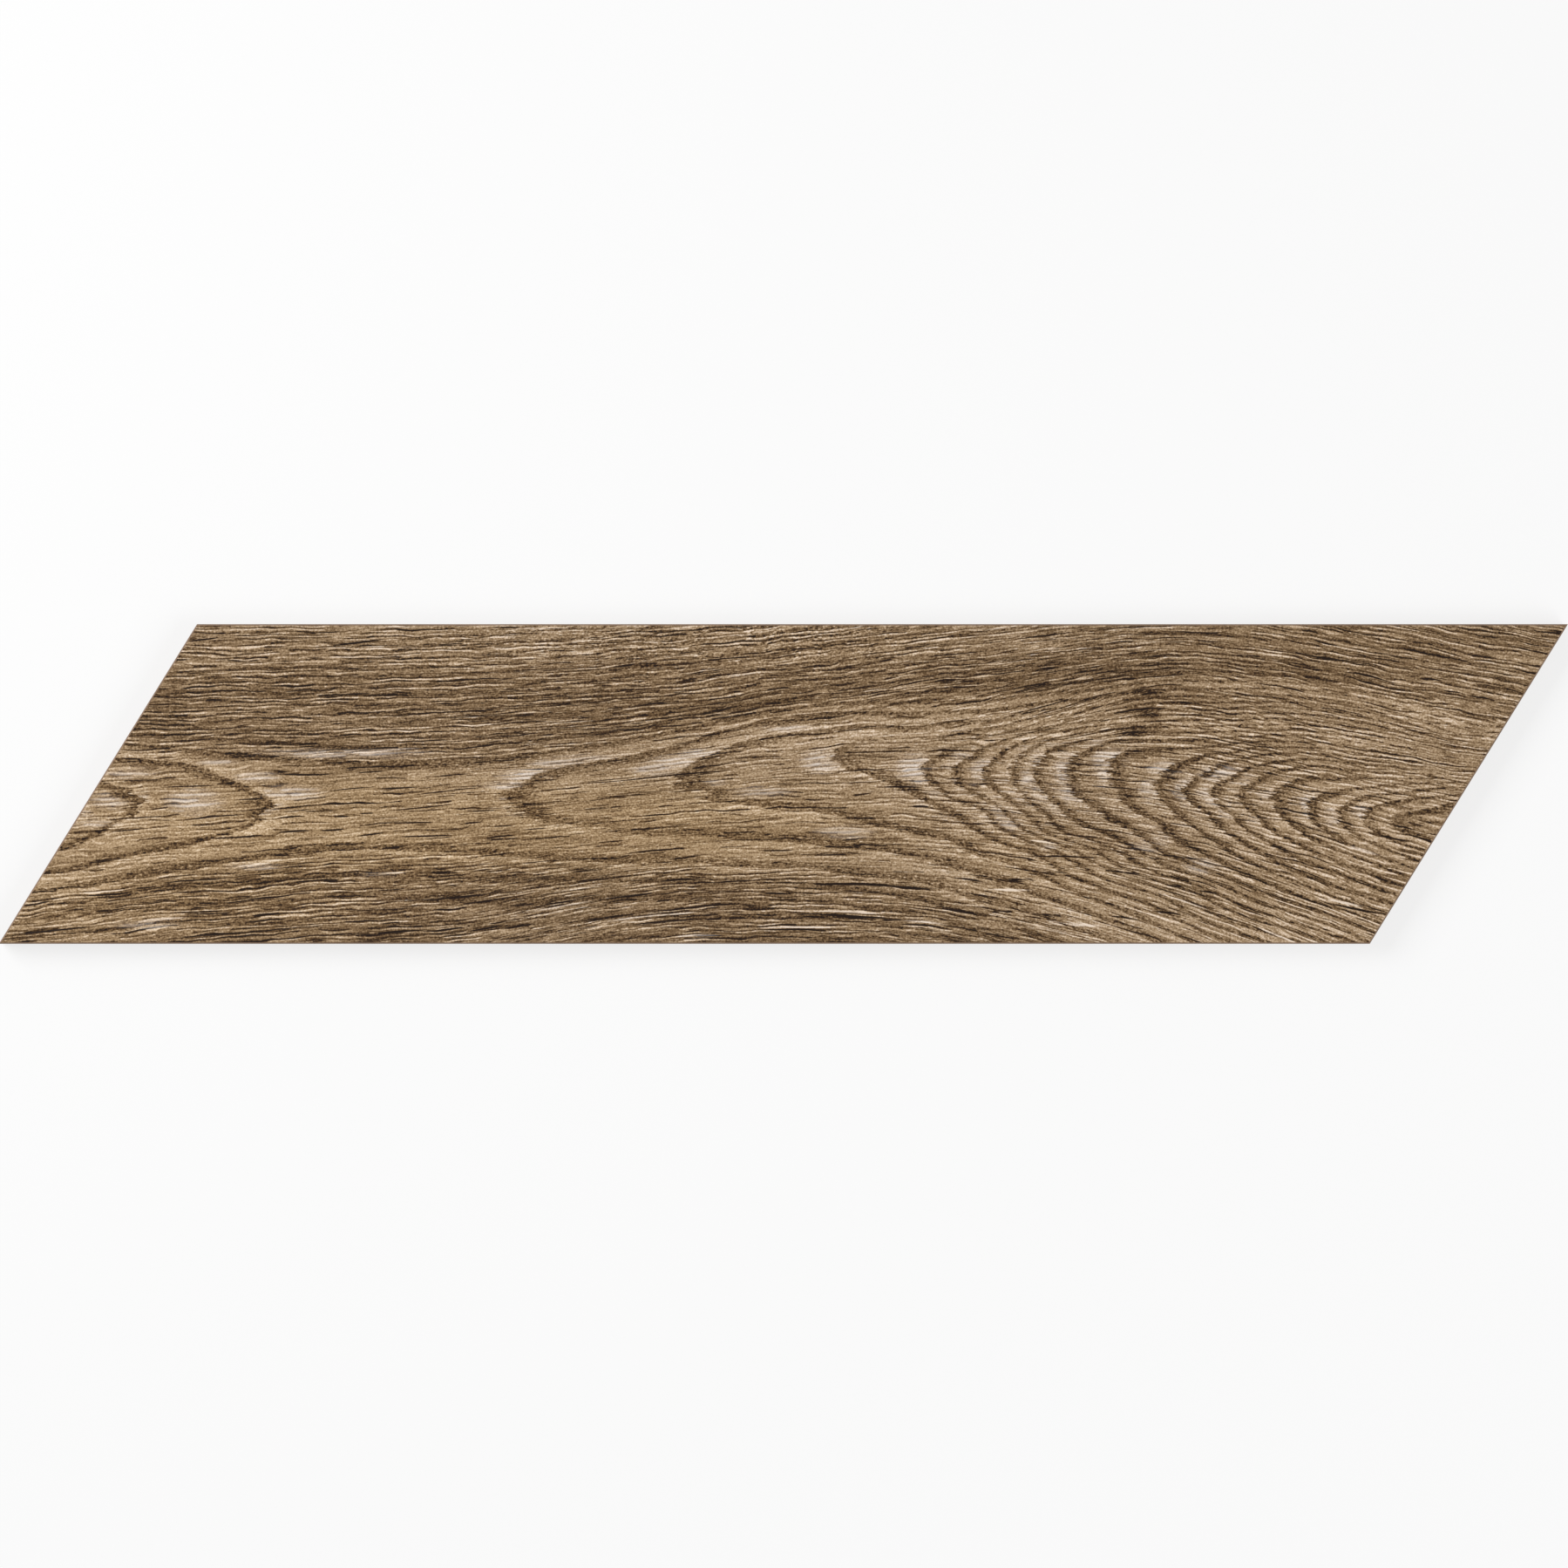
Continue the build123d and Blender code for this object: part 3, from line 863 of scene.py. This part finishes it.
ink.feed(glaze.inputs["Roughness"], ink.plus(GLAZE_ROUGHNESS, added_up(ROUGHER_MARKS)))
ink.feed(glaze.inputs["Normal"], bump.outputs["Normal"])
ink.feed(ink.add("ShaderNodeOutputMaterial").inputs["Surface"], glaze.outputs["BSDF"])

# Bare fired body
# Sides, bevels and back show the fired clay itself, a warm sandy brown with fine dark specks. The ribs of
# the back keep some of the pale wash that stops the tile from sticking to the kiln's rollers.

DARK_CLAY = linear(128, 105, 87)
PALE_CLAY = linear(148, 123, 103)
CLAY_SPECK = linear(84, 66, 53)
KILN_WASH = linear(206, 196, 182)
GRIT_SCALE = 2600.0  # grains to a metre
SPECK_SCALE = 1500.0  # specks to a metre
CLOUD_SCALE = 38.0  # clouds of paler clay to a metre
SPECK_EDGE = (0.66, 0.72)  # noise at which a speck begins, and at which it is full
SPECK_SHARE = 0.4
CLOUD_EDGE = (0.4, 1.1)
CLOUD_GRIT = 0.5  # how far grit breaks up the clouds
WASH_EDGE = (0.55, 0.8)
WASH_GRIT = 0.35  # how far grit breaks up the wash
WASH_HEIGHT = (0.05 * MILLIMETRE, 0.5 * MILLIMETRE)  # above the back's plane, where it thins out and ends
WASH_SHARE = 0.7
GRIT_STRENGTH = 0.25
GRIT_REACH = 0.05 * MILLIMETRE
CLAY_ROUGHNESS = 0.68
GRIT_ROUGHNESS = 0.25  # what grit adds to it
CLAY_SPECULAR = 0.25

body_finish = bpy.data.materials.new("fired_body")
body_finish.use_nodes = True
body_finish.node_tree.nodes.clear()
clay = Wiring(body_finish.node_tree)
clay_place = clay.add("ShaderNodeTexCoord").outputs["Object"]


def clay_noise(scale, detail):
    """Noise through the whole body, with this many features to a metre."""
    node = clay.add("ShaderNodeTexNoise", noise_dimensions="3D")
    clay.feed(node.inputs["Vector"], clay_place)
    node.inputs["Scale"].default_value = scale
    node.inputs["Detail"].default_value = detail
    return node.outputs["Fac"]


def laid_over(lower, upper, share):
    """One colour over another, by this share."""
    node = clay.add("ShaderNodeMix", data_type="RGBA")
    clay.feed(node.inputs["Factor"], share)
    clay.feed(node.inputs["A"], lower)
    clay.feed(node.inputs["B"], upper)
    return node.outputs["Result"]


split = clay.add("ShaderNodeSeparateXYZ")
clay.feed(split.inputs["Vector"], clay_place)
grit = clay_noise(GRIT_SCALE, detail=2.0)
cloud = clay_noise(CLOUD_SCALE, detail=2.0)
specks = clay.step(clay_noise(SPECK_SCALE, detail=1.0), *SPECK_EDGE)
mottled = clay.step(clay.plus(cloud, clay.times(grit, CLOUD_GRIT)), *CLOUD_EDGE)
on_ribs = clay.inverse(clay.step(split.outputs["Z"], *WASH_HEIGHT))
wash = clay.times(on_ribs, clay.step(clay.plus(cloud, clay.times(grit, WASH_GRIT)), *WASH_EDGE))
sandy = laid_over(DARK_CLAY, PALE_CLAY, mottled)
sandy = laid_over(sandy, CLAY_SPECK, clay.times(specks, SPECK_SHARE))
sandy = laid_over(sandy, KILN_WASH, clay.times(wash, WASH_SHARE))

rough = clay.add("ShaderNodeBump")
rough.inputs["Strength"].default_value = GRIT_STRENGTH
rough.inputs["Distance"].default_value = GRIT_REACH
clay.feed(rough.inputs["Height"], grit)
bisque = clay.add("ShaderNodeBsdfPrincipled")
bisque.inputs["Specular IOR Level"].default_value = CLAY_SPECULAR
clay.feed(bisque.inputs["Base Color"], sandy)
clay.feed(bisque.inputs["Roughness"], clay.plus(CLAY_ROUGHNESS, clay.times(grit, GRIT_ROUGHNESS)))
clay.feed(bisque.inputs["Normal"], rough.outputs["Normal"])
clay.feed(clay.add("ShaderNodeOutputMaterial").inputs["Surface"], bisque.outputs["BSDF"])

tile.data.materials.append(face_finish)
tile.data.materials.append(body_finish)
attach(tile, "root")
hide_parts("chevron_tile")

# Studio
# The tile lies on a pale floor that keeps its soft shadow, between two large soft lamps, with the camera
# straight above it.

FLOOR_SIZE = 6.0  # metres
FLOOR_GAP = 0.1 * MILLIMETRE  # under the tile, so that the two planes don't flicker
FLOOR_COLOUR = (0.85, 0.85, 0.85, 1.0)
WHITE_SHARE = 0.72  # of the floor's look, so that the tile's shadow stays soft and pale
floor_mesh = bmesh.new()
bmesh.ops.create_grid(floor_mesh, x_segments=1, y_segments=1, size=FLOOR_SIZE / 2)
bmesh.ops.translate(floor_mesh, verts=floor_mesh.verts, vec=(0, 0, tile_low.z - FLOOR_GAP))
floor_data = bpy.data.meshes.new("floor")
floor_mesh.to_mesh(floor_data)
floor_mesh.free()
floor = bpy.data.objects.new("floor", floor_data)
bpy.context.scene.collection.objects.link(floor)

paper = bpy.data.materials.new("white_paper")
paper.use_nodes = True
paper.node_tree.nodes.clear()
sheet = Wiring(paper.node_tree)
path = sheet.add("ShaderNodeLightPath")
seen = sheet.maths("MAXIMUM", path.outputs["Is Camera Ray"], path.outputs["Is Glossy Ray"])
seen = sheet.maths("MAXIMUM", seen, path.outputs["Is Transmission Ray"])
lit = sheet.add("ShaderNodeBsdfDiffuse")
lit.inputs["Color"].default_value = FLOOR_COLOUR
white = sheet.add("ShaderNodeEmission")
white.inputs["Strength"].default_value = 1.0
shown = sheet.add("ShaderNodeMixShader")
sheet.feed(shown.inputs[0], sheet.times(seen, WHITE_SHARE))
sheet.feed(shown.inputs[1], lit.outputs[0])
sheet.feed(shown.inputs[2], white.outputs[0])
sheet.feed(sheet.add("ShaderNodeOutputMaterial").inputs["Surface"], shown.outputs[0])
floor_data.materials.append(paper)

sky = bpy.data.worlds.new("studio")
sky.use_nodes = True
sky.node_tree.nodes.clear()
air = Wiring(sky.node_tree)
ray = air.add("ShaderNodeLightPath")
seen_sky = air.maths("MAXIMUM", ray.outputs["Is Camera Ray"], ray.outputs["Is Transmission Ray"])
AMBIENT = 0.28  # strength of the light from all round, which the camera sees as plain white
glow = air.add("ShaderNodeBackground")
glow.inputs["Color"].default_value = (1.0, 1.0, 1.0, 1.0)
air.feed(glow.inputs["Strength"], air.plus(AMBIENT, air.times(seen_sky, 1 - AMBIENT)))
air.feed(air.add("ShaderNodeOutputWorld").inputs["Surface"], glow.outputs[0])
bpy.context.scene.world = sky

# Each lamp: its place in metres, its size and its power in watts
LAMPS = {
    "key_softbox": ((-1.1, 0.55, 1.15), 1.0, 21.0),
    "fill_softbox": ((1.1, -0.5, 1.25), 1.2, 13.5),
}
for name, (lamp_place, size, power) in LAMPS.items():
    lamp = bpy.data.lights.new(name, "AREA")
    lamp.size = size
    lamp.energy = power
    holder = bpy.data.objects.new(name, lamp)
    holder.location = lamp_place
    holder.rotation_euler = (-Vector(lamp_place)).to_track_quat("-Z", "Y").to_euler()
    bpy.context.scene.collection.objects.link(holder)

PHOTO_SIZE = 1799  # pixels
CAMERA_HEIGHT = 3.0  # metres above the wear face
lens = bpy.data.cameras.new("camera")
lens.sensor_width = 36.0
frame_width = PHOTO_SIZE * pixel
lens.lens = lens.sensor_width * CAMERA_HEIGHT / frame_width
camera = bpy.data.objects.new("camera", lens)
across_shift = (PHOTO_SIZE / 2 - PHOTO_MIDDLE[0]) * pixel
down_shift = (PHOTO_SIZE / 2 - PHOTO_MIDDLE[1]) * pixel
camera.location = (across_shift, -down_shift, tile_high.z + CAMERA_HEIGHT)
bpy.context.scene.collection.objects.link(camera)
bpy.context.scene.camera = camera
bpy.context.scene.view_settings.view_transform = "Standard"
